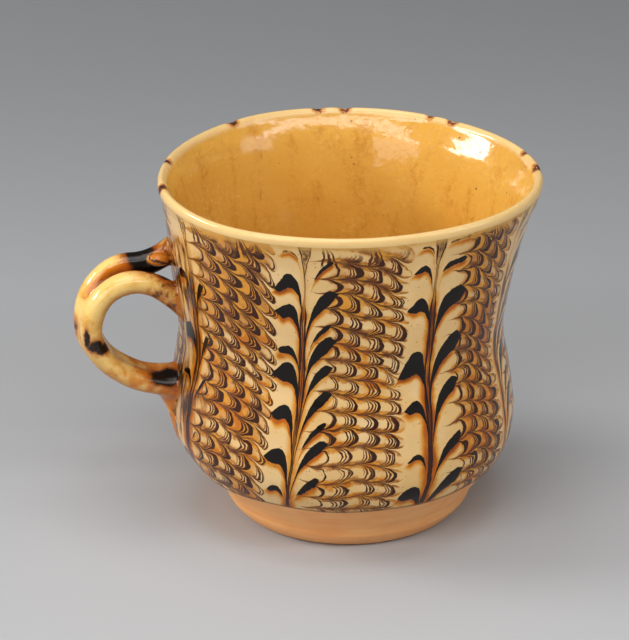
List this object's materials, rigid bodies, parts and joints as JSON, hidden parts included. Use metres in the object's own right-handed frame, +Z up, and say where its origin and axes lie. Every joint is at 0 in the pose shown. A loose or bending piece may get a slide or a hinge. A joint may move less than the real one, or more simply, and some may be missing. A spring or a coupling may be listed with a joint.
{
  "type": "mug",
  "caption": "Small hand-thrown earthenware mug with a waisted, flared body, feathered slip outside, honey glaze inside and a looped handle of paired clay rolls.",
  "frame": {"origin": "centre of the flat base", "axes": "+Z up through the middle of the foot, the handle points along -X, +Y is to the right of someone who looks along -X at the handle"},
  "size_m": [0.1227, 0.0998, 0.0942],
  "materials": {
    "bare_clay": "bare fired earthenware, satin, with fine turning lines",
    "feathered_slip": "cream and black-brown slip combed into feathers under a clear gloss glaze",
    "honey_glaze": "honey-coloured gloss glaze, finely crazed and speckled",
    "handle_glaze": "cream slip under amber gloss glaze that pools orange and black in the groove"
  },
  "bodies": {
    "root": {"thrown_body": "bare_clay", "slip_coat": "feathered_slip", "glaze_lining": "honey_glaze", "handle_front_roll": "handle_glaze", "handle_back_roll": "handle_glaze", "upper_joint_wad": "handle_glaze", "lower_joint_tail": "handle_glaze"}
  },
  "joints": []
}
